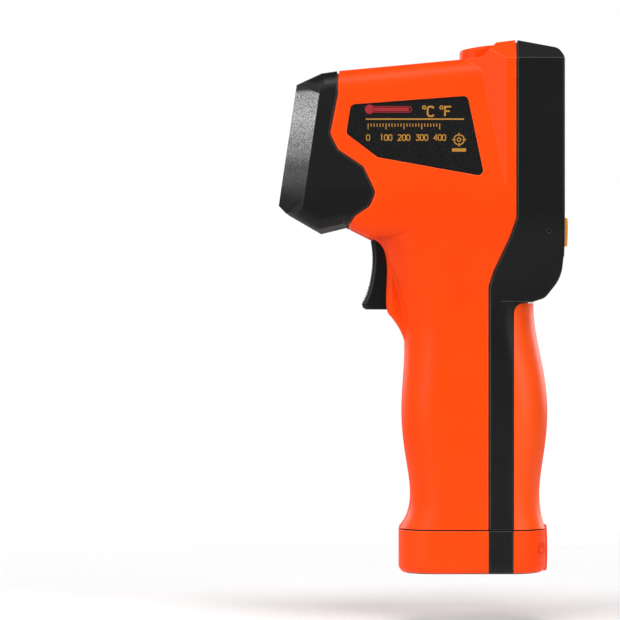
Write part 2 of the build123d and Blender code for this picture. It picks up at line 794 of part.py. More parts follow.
# ---- optics -------------------------------------------------------------------------------------
with BuildPart() as lens_barrel:
    disc(17.0, 43.0, 10.2, 0, OPTIC_Z)
    disc(33.6, 35.9, 12.5, 0, OPTIC_Z)
    disc(19.0, 43.0, 8.4, 0, OPTIC_Z, mode=Mode.SUBTRACT)
    disc(16.0, 20.0, 5.0, 0, OPTIC_Z, mode=Mode.SUBTRACT)
    for x in (-7.5, 7.5):
        disc(13.6, 17.0, 1.2, x, OPTIC_Z)
    disc(39.6, 43.0, 8.9, 0, OPTIC_Z, mode=Mode.SUBTRACT)
save(lens_barrel, "lens_barrel")

with BuildPart() as ir_lens:
    disc(40.2, 43.4, 8.6, 0, OPTIC_Z)
    with Locations((0, 43.4 - LENS_CURVE, OPTIC_Z)):
        Sphere(LENS_CURVE, mode=Mode.INTERSECT)
save(ir_lens, "ir_lens")

with BuildPart() as lens_retainer:
    disc(43.2, 46.0, 10.2, 0, OPTIC_Z)
    disc(43.0, 46.2, 8.0, 0, OPTIC_Z, mode=Mode.SUBTRACT)
    disc(41.9, 43.2, 8.6, 0, OPTIC_Z)
    disc(41.0, 46.2, 7.9, 0, OPTIC_Z, mode=Mode.SUBTRACT)
save(lens_retainer, "lens_retainer")

with BuildPart() as thermopile_sensor:
    disc(13.6, 14.4, 4.9, 0, OPTIC_Z)
    disc(14.4, 18.6, 4.2, 0, OPTIC_Z)
    disc(18.2, 18.6, 1.6, 0, OPTIC_Z, mode=Mode.SUBTRACT)
save(thermopile_sensor, "thermopile_sensor")

with BuildPart() as sensor_board:
    with BuildSketch(Plane.XZ.offset(-12.0)):
        with Locations((0, OPTIC_Z)):
            RectangleRounded(20, 20, 2)
    extrude(amount=-1.6)
save(sensor_board, "sensor_board")

with BuildPart() as sensor_ribbon:
    block((-4.0, 4.0), (board_back, 12.0), (129.6, 129.9))
save(sensor_ribbon, "sensor_ribbon")

with BuildPart() as optics_bracket:
    with BuildSketch(Plane.XZ.offset(-36.0)):
        Polygon(*mirrored([(17.6, 138.4), (20.2, 112.0), (20.2, 105.0)]), align=None)
        fillet(vertices(), radius=1.2)
        with Locations((0, OPTIC_Z)):
            Circle(10.25, mode=Mode.SUBTRACT)
        with Locations((0, LASER_Z)):
            Circle(3.05, mode=Mode.SUBTRACT)
        with Locations(*BRACKET_SPOTS):
            Circle(1.05, mode=Mode.SUBTRACT)
    extrude(amount=-2.0)
save(optics_bracket, "optics_bracket")

with BuildPart() as bracket_screws:
    for x, z in BRACKET_SPOTS:
        disc(31.0, 38.0, 0.9, x, z)
        disc(38.0, 39.2, 1.7, x, z)
        cross_slot(x, z, 39.2, 0.6)
save(bracket_screws, "bracket_screws")

with BuildPart() as laser_module:
    disc(24.0, 43.0, 3.0, 0, LASER_Z)
    disc(38.0, 43.0, 1.2, 0, LASER_Z, mode=Mode.SUBTRACT)
    chamfer(laser_module.faces().sort_by(Axis.Y)[0].edges(), length=0.4)
save(laser_module, "laser_module")

with BuildPart() as laser_window:
    disc(49.4, 50.4, 2.6, 0, LASER_Z)
save(laser_window, "laser_window")

# ---- battery bay -------------------------------------------------------------------------------------
with BuildPart() as battery_holder:
    with BuildSketch(Plane.XY.offset(19)):
        RectangleRounded(25.6, 13.6, 5.5)
    extrude(amount=37)
    with BuildSketch(Plane.XY.offset(19)):
        with Locations((-CELL_X, 0), (CELL_X, 0)):
            Circle(CELL_R + 0.4)
    extrude(amount=34.8, mode=Mode.SUBTRACT)
save(battery_holder, "battery_holder")

for side, label in ((-1, "battery_left"), (1, "battery_right")):
    with BuildPart() as cell:
        with BuildSketch(Plane.XY.offset(CELL_LOW)):
            with Locations((side * CELL_X, 0)):
                Circle(CELL_R)
        extrude(amount=CELL_LENGTH - 0.8)
        fillet(cell.edges().filter_by(GeomType.CIRCLE), radius=0.4)
        with BuildSketch(Plane.XY.offset(CELL_LOW + CELL_LENGTH - 0.8)):
            with Locations((side * CELL_X, 0)):
                Circle(1.9)
        extrude(amount=0.8)
    save(cell, label)

with BuildPart() as contact_tabs:
    for side in (-1, 1):
        x = sorted((side * 2.0, side * 9.4))
        block(x, (-3.0, 3.0), (53.2, 53.7))
        block(sorted((side * CELL_X - 0.8, side * CELL_X + 0.8)), (-0.8, 0.8), (52.1, 53.2))
save(contact_tabs, "contact_tabs")

with BuildPart() as battery_leads:
    for side in (-1, 1):
        with BuildLine():
            FilletPolyline(
                (side * 2.8, 0, 56.1), (side * 2.8, 0, 84), (side * 2.8, -9, 92),
                (side * 2.8, board_back + 0.1, 92), radius=3)
        with BuildSketch(Plane.XY.offset(56.1)):
            with Locations((side * 2.8, 0)):
                Circle(0.6)
        sweep()
save(battery_leads, "battery_leads")

with BuildPart() as housing_screws:
    for x, z in SCREW_SPOTS:
        disc(-13.4, 1.0, 0.9, x, z)
        disc(-15.2, -13.4, 2.0, x, z)
        cross_slot(x, z, -15.2, -0.8)
save(housing_screws, "housing_screws")

# ---- battery cap and its lock -----------------------------------------------------------------------
cap_outer = cap_form()
with BuildPart() as cap_core_block:
    with BuildSketch():
        with Locations((0, CAP_MID_Y)):
            RectangleRounded(CAP_WIDE - 2 * CAP_SKIN, CAP_DEEP - 2 * CAP_SKIN, CAP_CORNER - CAP_SKIN)
    extrude(amount=CAP_TOP)
cap_core = cap_core_block.part

with BuildPart() as battery_cap_core:
    add(cap_core)
    block((-30, 30), (PANEL_EDGE_Y + 0.15, SPLIT_LOW_Y - 0.15), (0, CAP_TOP))
    add(cap_outer, mode=Mode.INTERSECT)
    extrude(spigot_sketch(CAP_FLOOR), amount=SPIGOT_TOP - CAP_FLOOR)
    extrude(spigot_sketch(CAP_FLOOR, SPIGOT_WALL), amount=SPIGOT_TOP, mode=Mode.SUBTRACT)
    disc(-30, -18.9, BOSS_R + 0.01, 0, LOCK_Z, mode=Mode.SUBTRACT)
    disc(-19, -10, 1.7, 0, LOCK_Z, mode=Mode.SUBTRACT)
save(battery_cap_core, "battery_cap_core")

with BuildPart() as battery_cap_front:
    add(cap_outer)
    block((-30, 30), (-60, SPLIT_LOW_Y + 0.15), (-1, 20), mode=Mode.SUBTRACT)
    add(cap_core, mode=Mode.SUBTRACT)
save(battery_cap_front, "battery_cap_front")

with BuildPart() as battery_cap_rear:
    add(cap_outer)
    block((-30, 30), (PANEL_EDGE_Y - 0.15, 60), (-1, 20), mode=Mode.SUBTRACT)
    add(cap_core, mode=Mode.SUBTRACT)
    disc(BOSS_FACE_Y, -18.9, BOSS_R, 0, LOCK_Z)
    rim = battery_cap_rear.faces().sort_by(Axis.Y)[0].edges()
    fillet(rim, radius=0.4)
    plate(lock_pocket(), -30, LOCK_FLOOR_Y, mode=Mode.SUBTRACT)
    disc(-30, -10, 1.7, 0, LOCK_Z, mode=Mode.SUBTRACT)
save(battery_cap_rear, "battery_cap_rear")

with BuildPart() as lock_disc:
    plate(lock_outline(), BOSS_FACE_Y, LOCK_FLOOR_Y - 0.1)
    disc(LOCK_FLOOR_Y - 0.1, CAM_Y + 1.2, 1.6, 0, LOCK_Z)
    block((-1.0, 1.0), (BOSS_FACE_Y - 1, BOSS_FACE_Y + 1.2), (LOCK_Z - 4.6, LOCK_Z + 5.4),
          mode=Mode.SUBTRACT)
save(lock_disc, "lock_disc")

with BuildPart() as lock_cam:
    with BuildSketch(Plane.XZ.offset(-CAM_Y)):
        with Locations((0, LOCK_Z)):
            Circle(2.9)
        with Locations((0, LOCK_Z + 4.2)):
            Rectangle(2.6, 8.4)
        with Locations((0, LOCK_Z)):
            Circle(1.6, mode=Mode.SUBTRACT)
    extrude(amount=-1.2)
save(lock_cam, "lock_cam")

with BuildPart() as cap_gasket:
    with BuildSketch(Plane.XY.offset(CAP_TOP)):
        with Locations((0, CAP_MID_Y)):
            RectangleRounded(CAP_WIDE - 3.0, CAP_DEEP - 3.0, CAP_CORNER - 1.5)
    extrude(amount=0.3)
    extrude(spigot_sketch(CAP_TOP), amount=1, mode=Mode.SUBTRACT)
    disc(-30, -13, BOSS_R + 0.1, 0, LOCK_Z, mode=Mode.SUBTRACT)
save(cap_gasket, "cap_gasket")

with BuildPart() as cap_contact_plate:
    block((-10.0, 10.0), (-3.5, 3.5), (CAP_FLOOR, CAP_FLOOR + 0.5))
save(cap_contact_plate, "cap_contact_plate")

with BuildPart() as cap_contact_springs:
    for side in (-1, 1):
        with BuildLine():
            coil = Helix(pitch=1.2, height=CELL_LOW - CAP_FLOOR - 1.3, radius=3.0,
                         center=(side * CELL_X, 0, CAP_FLOOR + 0.9))
        with BuildSketch(Plane(origin=coil @ 0, z_dir=coil % 0)):
            Circle(0.3)
        sweep(is_frenet=True)
save(cap_contact_springs, "cap_contact_springs")
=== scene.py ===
import math

import bmesh
import bpy
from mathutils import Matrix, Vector
from mathutils.bvhtree import BVHTree


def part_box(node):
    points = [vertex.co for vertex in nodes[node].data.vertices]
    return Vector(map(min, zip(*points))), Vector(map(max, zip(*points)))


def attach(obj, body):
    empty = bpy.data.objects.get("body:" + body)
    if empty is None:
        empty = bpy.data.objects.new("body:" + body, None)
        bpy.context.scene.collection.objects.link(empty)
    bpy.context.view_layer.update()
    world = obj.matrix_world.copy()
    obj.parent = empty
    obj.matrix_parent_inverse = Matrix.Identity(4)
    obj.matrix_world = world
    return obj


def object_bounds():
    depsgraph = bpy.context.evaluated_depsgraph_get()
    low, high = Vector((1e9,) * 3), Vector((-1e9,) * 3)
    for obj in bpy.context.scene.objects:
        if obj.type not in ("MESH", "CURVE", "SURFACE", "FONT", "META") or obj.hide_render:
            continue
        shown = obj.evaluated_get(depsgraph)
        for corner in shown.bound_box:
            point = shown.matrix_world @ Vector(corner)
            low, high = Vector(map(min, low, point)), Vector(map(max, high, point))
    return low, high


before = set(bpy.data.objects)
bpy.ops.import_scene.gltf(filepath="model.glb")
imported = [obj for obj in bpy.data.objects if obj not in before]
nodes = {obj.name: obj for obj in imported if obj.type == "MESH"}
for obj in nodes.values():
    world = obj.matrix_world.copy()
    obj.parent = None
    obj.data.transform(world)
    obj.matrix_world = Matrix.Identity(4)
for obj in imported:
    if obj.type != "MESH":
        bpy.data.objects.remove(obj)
cad_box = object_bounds()
scene = bpy.context.scene
scene.view_settings.view_transform = "Standard"
scene.view_settings.look = "None"

MM = 0.001
EDGE = 0.00035  # radius at which sharp plastic edges seem rounded
EDGE_HIGHLIGHT_REACH = 0.0002  # how far the painted edge highlight reaches from a sharp edge
EDGE_SAMPLES = 6

# ---------------------------------------------------------------- materials

def new_material(name):
    """A material with an empty tree, its Principled shader and a link helper."""
    made = bpy.data.materials.new(name)
    made.use_nodes = True
    tree = made.node_tree
    tree.nodes.clear()
    out = tree.nodes.new("ShaderNodeOutputMaterial")
    shader = tree.nodes.new("ShaderNodeBsdfPrincipled")
    tree.links.new(shader.outputs["BSDF"], out.inputs["Surface"])
    return made, tree, shader


def coordinates(tree):
    """Object coordinates, which are metres in the row frame."""
    found = tree.nodes.get("Coordinates")
    if found is None:
        found = tree.nodes.new("ShaderNodeTexCoord")
        found.name = "Coordinates"
    return found.outputs["Object"]


def noise(tree, size, detail=3.0, rough=0.5, stretch=None):
    """Noise with features of about this size in metres, 0 to 1."""
    made = tree.nodes.new("ShaderNodeTexNoise")
    made.inputs["Scale"].default_value = 1 / size
    made.inputs["Detail"].default_value = detail
    made.inputs["Roughness"].default_value = rough
    where = coordinates(tree)
    if stretch is not None:
        mapping = tree.nodes.new("ShaderNodeMapping")
        mapping.inputs["Scale"].default_value = stretch
        tree.links.new(where, mapping.inputs["Vector"])
        where = mapping.outputs["Vector"]
    tree.links.new(where, made.inputs["Vector"])
    return made.outputs["Fac"]


def spread(tree, value, low, high, start=0.3, end=0.7):
    """The value from start..end becomes low..high."""
    made = tree.nodes.new("ShaderNodeMapRange")
    made.inputs["From Min"].default_value = start
    made.inputs["From Max"].default_value = end
    made.inputs["To Min"].default_value = low
    made.inputs["To Max"].default_value = high
    tree.links.new(value, made.inputs["Value"])
    return made.outputs["Result"]


def along(tree, axis, low, high, first=0.0, last=1.0):
    """From first at low to last at high, along one axis of the object."""
    split = tree.nodes.new("ShaderNodeSeparateXYZ")
    tree.links.new(coordinates(tree), split.inputs["Vector"])
    return spread(tree, split.outputs[axis], first, last, low, high)


def rounded_normal(tree, radius):
    """The surface normal with sharp edges rounded to this radius."""
    rounded = tree.nodes.new("ShaderNodeBevel")
    rounded.samples = EDGE_SAMPLES
    rounded.inputs["Radius"].default_value = radius
    return rounded.outputs["Normal"]


def blend_colours(tree, value, first, second, start=0.3, end=0.7):
    """A colour from first to second as the value goes from start to end."""
    ramp = tree.nodes.new("ShaderNodeValToRGB")
    ramp.color_ramp.elements[0].position = start
    ramp.color_ramp.elements[0].color = (*first, 1)
    ramp.color_ramp.elements[1].position = end
    ramp.color_ramp.elements[1].color = (*second, 1)
    tree.links.new(value, ramp.inputs["Fac"])
    return ramp.outputs["Color"]


def bump(tree, shader, heights, edge=0.0):
    """Bumps the surface by (height value, depth in metres, strength) in turn.

    With an edge radius, sharp edges catch the light as if they were slightly rounded.
    """
    normal = rounded_normal(tree, edge) if edge else None
    for height, depth, strength in heights:
        made = tree.nodes.new("ShaderNodeBump")
        made.inputs["Distance"].default_value = depth
        made.inputs["Strength"].default_value = strength
        tree.links.new(height, made.inputs["Height"])
        if normal is not None:
            tree.links.new(normal, made.inputs["Normal"])
        normal = made.outputs["Normal"]
    tree.links.new(normal, shader.inputs["Normal"])


def shade(colour, by):
    """The colour made darker or lighter by a factor."""
    return tuple(min(1.0, c * by) for c in colour)


def moulded(name, colour, rough, grain, depth, vary=0.05, specular=0.5, edge=0.0):
    """Moulded plastic: spark-eroded grain, faint flow mottling, uneven gloss."""
    made, tree, shader = new_material(name)
    flow = noise(tree, 0.014, detail=4.0)
    fine = noise(tree, grain, detail=2.0, rough=0.6)
    tree.links.new(
        blend_colours(tree, flow, shade(colour, 1 - vary), shade(colour, 1 + vary)),
        shader.inputs["Base Color"],
    )
    tree.links.new(spread(tree, fine, rough - 0.05, rough + 0.06), shader.inputs["Roughness"])
    shader.inputs["Specular IOR Level"].default_value = specular
    bump(tree, shader, [(fine, depth, 0.5), (flow, depth * 3, 0.1)], edge)
    return made


def painted_edge_highlight(made, colour):
    """Painted highlight: lightens the colour along sharp edges, where a lamp would glint on the
    slight rounding.
    """
    tree = made.node_tree
    shader = next(n for n in tree.nodes if n.type == "BSDF_PRINCIPLED")
    flat = tree.nodes.new("ShaderNodeNewGeometry")
    turn = tree.nodes.new("ShaderNodeVectorMath")
    turn.operation = "DOT_PRODUCT"
    tree.links.new(rounded_normal(tree, EDGE_HIGHLIGHT_REACH), turn.inputs[0])
    tree.links.new(flat.outputs["Normal"], turn.inputs[1])
    # The painted highlight is full where the two normals part by 30 degrees or more.
    edge_glint = spread(tree, turn.outputs["Value"], 1.0, 0.0, 0.86, 0.995)
    mix = tree.nodes.new("ShaderNodeMix")
    mix.data_type = "RGBA"
    mix.inputs["B"].default_value = (*colour, 1)
    tree.links.new(edge_glint, mix.inputs["Factor"])
    link = shader.inputs["Base Color"].links[0]
    tree.links.new(link.from_socket, mix.inputs["A"])
    tree.links.new(mix.outputs["Result"], shader.inputs["Base Color"])


ORANGE = (0.94, 0.058, 0.001)
GRIP_ORANGE = (0.95, 0.08, 0.002)
BLACK = (0.0045, 0.0048, 0.0052)
AMBER = (1.0, 0.34, 0.01)
RED = (0.72, 0.012, 0.022)
GOLD_INK = (0.43, 0.2, 0.02)
RED_INK = (0.33, 0.008, 0.016)

orange = moulded("orange_plastic", ORANGE, 0.42, 0.00035, 0.000006, specular=0.12, edge=EDGE)
sign_orange = moulded("orange_sign", (0.74, 0.03, 0.001), 0.45, 0.00035, 0.000004, specular=0.1)
grip = moulded("orange_grip", GRIP_ORANGE, 0.42, 0.0003, 0.000012, specular=0.25)
black = moulded("black_plastic", BLACK, 0.4, 0.0004, 0.000012, 0.2, 0.22, edge=EDGE)
# Painted highlights: pale grey and pale orange along the sharp edges of the black and orange
# plastic.
painted_edge_highlight(black, (0.16, 0.16, 0.16))
painted_edge_highlight(orange, (1.0, 0.26, 0.09))
amber_key = moulded("amber_key", AMBER, 0.38, 0.0004, 0.000005, specular=0.4, edge=EDGE)
red_key = moulded("red_key", RED, 0.38, 0.0004, 0.000005, specular=0.4, edge=EDGE)
component = moulded("component_black", (0.014, 0.014, 0.015), 0.5, 0.0003, 0.00001, 0.15)
zebra = moulded("zebra_rubber", (0.03, 0.03, 0.032), 0.7, 0.0003, 0.00002, 0.15, 0.3)
ribbon_film = moulded("ribbon_film", (0.35, 0.12, 0.02), 0.35, 0.001, 0.00001, 0.1)
wire = moulded("wire_red", (0.5, 0.01, 0.01), 0.4, 0.0005, 0.00001, 0.05)
white_ink = moulded("white_ink", (0.86, 0.85, 0.83), 0.5, 0.00025, 0.000002, 0.02)
gold_ink = moulded("gold_ink", GOLD_INK, 0.42, 0.0002, 0.000002, 0.12)
red_ink = moulded("red_ink", RED_INK, 0.42, 0.0002, 0.000002, 0.08)


def brushed(name, colour, rough, across):
    """Drawn or turned metal with fine lines along one direction."""
    made, tree, shader = new_material(name)
    lines = noise(tree, 0.0006, detail=3.0, stretch=across)
    tree.links.new(
        blend_colours(tree, lines, shade(colour, 0.86), colour), shader.inputs["Base Color"]
    )
    tree.links.new(spread(tree, lines, rough - 0.06, rough + 0.1), shader.inputs["Roughness"])
    shader.inputs["Metallic"].default_value = 1.0
    bump(tree, shader, [(lines, 0.000008, 0.3)])
    return made


steel = brushed("steel", (0.62, 0.62, 0.61), 0.28, (1, 1, 6))
nickel = brushed("nickel", (0.72, 0.68, 0.6), 0.24, (1, 6, 1))
brass = brushed("brass", (0.78, 0.52, 0.2), 0.3, (1, 6, 1))


def speckled(name):
    """Label plate: black film over a sandy texture that catches the light in points."""
    made, tree, shader = new_material(name)
    sand = noise(tree, 0.00042, detail=4.0, rough=0.75)
    cloud = noise(tree, 0.0035, detail=2.0)
    tree.links.new(
        blend_colours(tree, sand, (0.002, 0.0022, 0.0025), (0.03, 0.03, 0.03), 0.52, 0.74),
        shader.inputs["Base Color"],
    )
    tree.links.new(spread(tree, sand, 0.7, 0.4), shader.inputs["Roughness"])
    shader.inputs["Specular IOR Level"].default_value = 0.13
    bump(tree, shader, [(sand, 0.00005, 0.6), (cloud, 0.00003, 0.1)])
    return made


label_black = speckled("label_black")


def grit_with_painted_highlight(name, low, high):
    """Coarse sparkle on the upright corner faces of the nose, which are slightly crowned.

    The grit's pale speckle and a band of painted highlight stand in for a lamp's reflection: palest
    a quarter of the way down, fading into the plain black below.
    """
    made, tree, shader = new_material(name)
    grit = noise(tree, 0.00045, detail=4.0, rough=0.8)
    # Painted highlight: the pale grey of the speckle stands in for a lamp's reflection; the grit
    # pattern itself is surface texture.
    speckle_and_highlight = blend_colours(tree, grit, (0.06, 0.06, 0.062), (0.75, 0.75, 0.75), 0.36, 0.7)
    # Painted highlight: a lighter band down the face, darkest at top and bottom, is a lamp's
    # reflection painted into the colour by height.
    fade = tree.nodes.new("ShaderNodeValToRGB")
    fade.color_ramp.interpolation = "EASE"
    fade.color_ramp.elements[0].position = 0.2
    fade.color_ramp.elements[0].color = (0.03, 0.03, 0.03, 1)
    fade.color_ramp.elements[1].position = 0.72
    fade.color_ramp.elements[1].color = (0.9, 0.9, 0.9, 1)
    for position, grey in ((0.39, 0.14), (0.52, 0.5), (0.855, 0.7), (0.885, 0.02)):
        fade.color_ramp.elements.new(position).color = (grey, grey, grey, 1)
    tree.links.new(along(tree, "Z", low.z, high.z), fade.inputs["Fac"])
    mix = tree.nodes.new("ShaderNodeMix")
    mix.data_type = "RGBA"
    mix.blend_type = "MULTIPLY"
    mix.inputs["Factor"].default_value = 1.0
    tree.links.new(speckle_and_highlight, mix.inputs["A"])
    tree.links.new(fade.outputs["Color"], mix.inputs["B"])
    tree.links.new(mix.outputs["Result"], shader.inputs["Base Color"])
    tree.links.new(spread(tree, grit, 0.42, 0.26), shader.inputs["Roughness"])
    shader.inputs["Specular IOR Level"].default_value = 0.35
    up = along(tree, "Z", low.z, high.z, -1.0, 1.0)
    crown = tree.nodes.new("ShaderNodeMath")
    crown.operation = "MULTIPLY"
    tree.links.new(up, crown.inputs[0])
    tree.links.new(up, crown.inputs[1])
    bump(tree, shader, [(crown.outputs["Value"], -0.0016, 1.0), (grit, 0.00005, 0.6)])
    return made


nose_low, nose_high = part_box("nose_cover")
nose_frost = grit_with_painted_highlight("nose_frost", nose_low, nose_high)


def clear_cover(name):
    """Clear acrylic with faint wipe marks in its gloss."""
    made, tree, shader = new_material(name)
    wipe = noise(tree, 0.006, detail=5.0, stretch=(1, 1, 4))
    shader.inputs["Base Color"].default_value = (0.97, 0.98, 0.98, 1)
    tree.links.new(spread(tree, wipe, 0.02, 0.07), shader.inputs["Roughness"])
    shader.inputs["IOR"].default_value = 1.49
    shader.inputs["Transmission Weight"].default_value = 1.0
    return made


window_clear = clear_cover("window_clear")


def lit_panel(name, low, high):
    """Backlit display: light enters from the right edge and fades to a deeper blue."""
    made, tree, shader = new_material(name)
    cloud = noise(tree, 0.009, detail=2.0)
    mixed = tree.nodes.new("ShaderNodeMath")
    mixed.operation = "MULTIPLY_ADD"
    tree.links.new(spread(tree, cloud, -0.08, 0.08), mixed.inputs[0])
    mixed.inputs[1].default_value = 1.0
    tree.links.new(along(tree, "X", low.x, high.x), mixed.inputs[2])
    colour = blend_colours(
        tree, mixed.outputs["Value"], (0.28, 0.49, 0.9), (0.47, 0.77, 1.0), 0.05, 0.95
    )
    shader.inputs["Base Color"].default_value = (0.10, 0.13, 0.16, 1)
    shader.inputs["Roughness"].default_value = 0.35
    tree.links.new(colour, shader.inputs["Emission Color"])
    shader.inputs["Emission Strength"].default_value = 0.95
    return made


panel_low, panel_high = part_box("lcd_panel")
lcd_glass = lit_panel("lcd_glass", panel_low, panel_high)
light_guide = moulded("light_guide", (0.75, 0.82, 0.9), 0.3, 0.001, 0.000004, 0.03)
lcd_ink = moulded("lcd_ink", (0.002, 0.0025, 0.003), 0.6, 0.0005, 0.000001, 0.1, 0.05)


def circuit_board(name):
    """Solder mask over a grid of tracks."""
    made, tree, shader = new_material(name)
    bricks = tree.nodes.new("ShaderNodeTexBrick")
    bricks.inputs["Scale"].default_value = 420
    bricks.inputs["Mortar Size"].default_value = 0.06
    bricks.inputs["Color1"].default_value = (0.006, 0.10, 0.035, 1)
    bricks.inputs["Color2"].default_value = (0.008, 0.13, 0.045, 1)
    bricks.inputs["Mortar"].default_value = (0.02, 0.20, 0.07, 1)
    mapping = tree.nodes.new("ShaderNodeMapping")
    mapping.inputs["Rotation"].default_value = (math.radians(90), 0, 0)
    tree.links.new(coordinates(tree), mapping.inputs["Vector"])
    tree.links.new(mapping.outputs["Vector"], bricks.inputs["Vector"])
    tree.links.new(bricks.outputs["Color"], shader.inputs["Base Color"])
    tree.links.new(spread(tree, noise(tree, 0.004), 0.28, 0.4), shader.inputs["Roughness"])
    bump(tree, shader, [(bricks.outputs["Fac"], 0.00003, 0.4)])
    return made


board_green = circuit_board("board_green")


def infrared_lens(name):
    """Dark moulded infrared lens with a warm coated shine."""
    made, tree, shader = new_material(name)
    ripple = noise(tree, 0.002, detail=2.0)
    tree.links.new(
        blend_colours(tree, ripple, (0.030, 0.008, 0.006), (0.045, 0.012, 0.008)),
        shader.inputs["Base Color"],
    )
    tree.links.new(spread(tree, ripple, 0.08, 0.14), shader.inputs["Roughness"])
    shader.inputs["Coat Weight"].default_value = 0.6
    shader.inputs["Coat Roughness"].default_value = 0.04
    return made


lens_red = infrared_lens("infrared_lens")


def cell_jacket(name, low, high):
    """Battery sleeve: a gold band over a black body, with bare metal at the ends."""
    made, tree, shader = new_material(name)
    ramp = tree.nodes.new("ShaderNodeValToRGB")
    ramp.color_ramp.interpolation = "CONSTANT"
    stops = [
        (0.0, (0.7, 0.7, 0.68)), (0.03, (0.012, 0.012, 0.014)), (0.62, (0.62, 0.38, 0.12)),
        (0.96, (0.7, 0.7, 0.68)),
    ]
    ramp.color_ramp.elements[0].color = (*stops[0][1], 1)
    ramp.color_ramp.elements[1].position = stops[1][0]
    ramp.color_ramp.elements[1].color = (*stops[1][1], 1)
    for position, colour in stops[2:]:
        ramp.color_ramp.elements.new(position).color = (*colour, 1)
    tree.links.new(along(tree, "Z", low.z, high.z), ramp.inputs["Fac"])
    tree.links.new(ramp.outputs["Color"], shader.inputs["Base Color"])
    scuff = noise(tree, 0.0012, detail=4.0)
    tree.links.new(spread(tree, scuff, 0.2, 0.34), shader.inputs["Roughness"])
    shader.inputs["Metallic"].default_value = 0.6
    bump(tree, shader, [(scuff, 0.00001, 0.2)])
    return made


cell_low, cell_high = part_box("battery_left")

FINISHES = {
    "orange_plastic": orange,
    "orange_grip": grip,
    "black_plastic": black,
    "label_black": label_black,
    "amber_key": amber_key,
    "red_key": red_key,
    "window_clear": window_clear,
    "lcd_glass": lcd_glass,
    "light_guide": light_guide,
    "zebra_rubber": zebra,
    "board_green": board_green,
    "component_black": component,
    "steel": steel,
    "nickel": nickel,
    "brass": brass,
    "infrared_lens": lens_red,
    "ribbon_film": ribbon_film,
    "wire_red": wire,
    "cell_jacket": cell_jacket("cell_jacket", cell_low, cell_high),
}

for node in nodes.values():
    for slot in node.material_slots:
        slot.material = FINISHES[slot.material.name.split(".")[0]]

SMALLEST_BEVEL = 2e-6  # square metres; smaller faces belong to roundings


def is_nose_bevel(face):
    """Whether this is one of the large upright corner faces of the nose."""
    x, y, z = face.normal
    return 0.45 < abs(x) < 0.92 and y > 0.2 and abs(z) < 0.35 and face.area > SMALLEST_BEVEL


# The upright corner faces of the nose get the grit texture with its painted highlight.
nose = nodes["nose_cover"]
nose.data.materials.append(nose_frost)
for face in nose.data.polygons:
    if is_nose_bevel(face):
        face.material_index = 1


# ---------------------------------------------------------------- inlays

class Inlay:
    """Thin raised shapes on a surface. place(u, v, h) gives the point h above the surface."""

    def __init__(self, place, proud, sunk):
        self.place = place
        self.proud = proud
        self.sunk = sunk
        self.points = []
        self.faces = []

    def _ring(self, outline):
        """Adds the outline's points above the surface and below it; gives the first one's index."""
        start = len(self.points)
        for u, v in outline:
            self.points.append(self.place(u, v, self.proud))
        for u, v in outline:
            self.points.append(self.place(u, v, -self.sunk))
        return start

    def polygon(self, outline):
        """A filled shape."""
        start, n = self._ring(outline), len(outline)
        top = list(range(start, start + n))
        self.faces.append(top)
        self.faces.append([i + n for i in reversed(top)])
        for i in range(n):
            j = (i + 1) % n
            self.faces.append([start + i, start + i + n, start + j + n, start + j])

    def ribbon(self, line, width, closed=False):
        """A line of constant width with mitred corners."""
        left, right = [], []
        n = len(line)
        for i, (u, v) in enumerate(line):
            before = line[i - 1] if i or closed else None
            after = line[(i + 1) % n] if i < n - 1 or closed else None
            ways = []
            if before is not None:
                ways.append(Vector((u - before[0], v - before[1])).normalized())
            if after is not None:
                ways.append(Vector((after[0] - u, after[1] - v)).normalized())
            way = sum(ways, Vector((0, 0))).normalized()
            side = Vector((-way.y, way.x))
            reach = width / 2 / max(0.35, side.dot(Vector((-ways[0].y, ways[0].x))))
            left.append((u + side.x * reach, v + side.y * reach))
            right.append((u - side.x * reach, v - side.y * reach))
        a, b = self._ring(left), self._ring(right)
        last = n if closed else n - 1
        for i in range(last):
            j = (i + 1) % n
            self.faces.append([a + i, a + j, b + j, b + i])
            self.faces.append([a + i + n, b + i + n, b + j + n, a + j + n])
            self.faces.append([a + i, a + i + n, a + j + n, a + j])
            self.faces.append([b + i, b + j, b + j + n, b + i + n])
        if not closed:
            for i, flip in ((0, False), (n - 1, True)):
                end = [a + i, b + i, b + i + n, a + i + n]
                self.faces.append(end[::-1] if flip else end)

    def arc(self, u, v, radius, width, start=0, end=360, steps=24):
        """Part of a ring, or all of it, with angles in degrees."""
        closed = end - start >= 360
        count = steps if closed else steps + 1
        line = []
        for i in range(count):
            angle = math.radians(start + (end - start) * i / steps)
            line.append((u + radius * math.cos(angle), v + radius * math.sin(angle)))
        self.ribbon(line, width, closed)

    def disc(self, u, v, radius, steps=20):
        """A filled circle."""
        outline = []
        for i in range(steps):
            angle = 2 * math.pi * i / steps
            outline.append((u + radius * math.cos(angle), v + radius * math.sin(angle)))
        self.polygon(outline)

    def bar(self, u, v, width, height):
        """A filled rectangle, centred on (u, v)."""
        w, h = width / 2, height / 2
        self.polygon([(u - w, v - h), (u + w, v - h), (u + w, v + h), (u - w, v + h)])

    def rays(self, u, v, inner, outer, width, angles):
        """Short lines that point away from (u, v), at these angles in degrees."""
        for angle in angles:
            a = math.radians(angle)
            self.ribbon(
                [(u + inner * math.cos(a), v + inner * math.sin(a)),
                 (u + outer * math.cos(a), v + outer * math.sin(a))], width,
            )

    def build(self, name, material, body):
        """Makes the piece, which rides on the body."""
        mesh = bpy.data.meshes.new(name)
        mesh.from_pydata(self.points, [], self.faces)
        mesh.validate()
        mesh.update()
        piece = bpy.data.objects.new(name, mesh)
        scene.collection.objects.link(piece)
        mesh.materials.append(material)
        turn_outwards(piece)
        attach(piece, body)


def turn_outwards(piece):
    """Turns every face of the piece outwards."""
    bm = bmesh.new()
    bm.from_mesh(piece.data)
    bmesh.ops.recalc_face_normals(bm, faces=bm.faces)
    bm.to_mesh(piece.data)
    bm.free()


